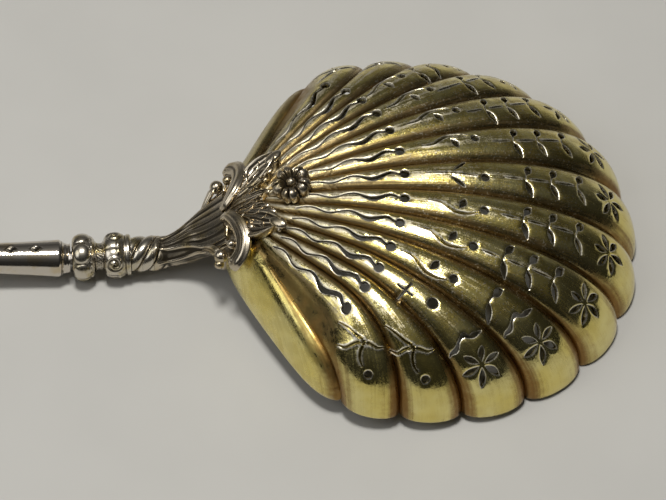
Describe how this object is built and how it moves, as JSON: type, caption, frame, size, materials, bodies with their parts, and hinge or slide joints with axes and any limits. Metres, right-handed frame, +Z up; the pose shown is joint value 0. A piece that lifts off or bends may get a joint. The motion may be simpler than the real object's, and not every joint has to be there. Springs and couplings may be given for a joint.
{
  "type": "sugar sifter spoon",
  "caption": "Sugar sifter spoon: a pierced, fluted shell bowl on a cast scroll, leaf and flower mount and a knopped tubular handle; it sifts sugar over food.",
  "frame": {"origin": "centre of the bounding box's bottom face, on the table the spoon lies on", "axes": "+X along the length from the finial to the bowl's tip, +Z up out of the bowl's convex back, Y = 0 the middle plane"},
  "size_m": [0.19, 0.07, 0.0222],
  "materials": {
    "gilt": "pale gilding on silver, polished, worn and slightly tarnished",
    "silver": "antique silver with dark recesses",
    "iron": "plain drawn rod",
    "pitch": "dark set pitch"
  },
  "bodies": {
    "root": {"shell_bowl": "gilt", "neck_mount": "silver", "large_scroll_near": "silver", "large_scroll_far": "silver", "small_scroll_near": "silver", "small_scroll_far": "silver", "leaf_centre": "silver", "leaf_near": "silver", "leaf_far": "silver", "flower_petals": "silver", "flower_bead": "silver", "twist_ring_two": "silver", "twist_ring_one": "silver", "rosette_knop": "silver", "waist_spool": "silver", "melon_knop": "silver", "tube_collar": "silver", "handle_tube": "silver", "end_collar": "silver", "end_finial": "silver", "tang_rod": "iron", "pitch_filler": "pitch"}
  },
  "joints": []
}
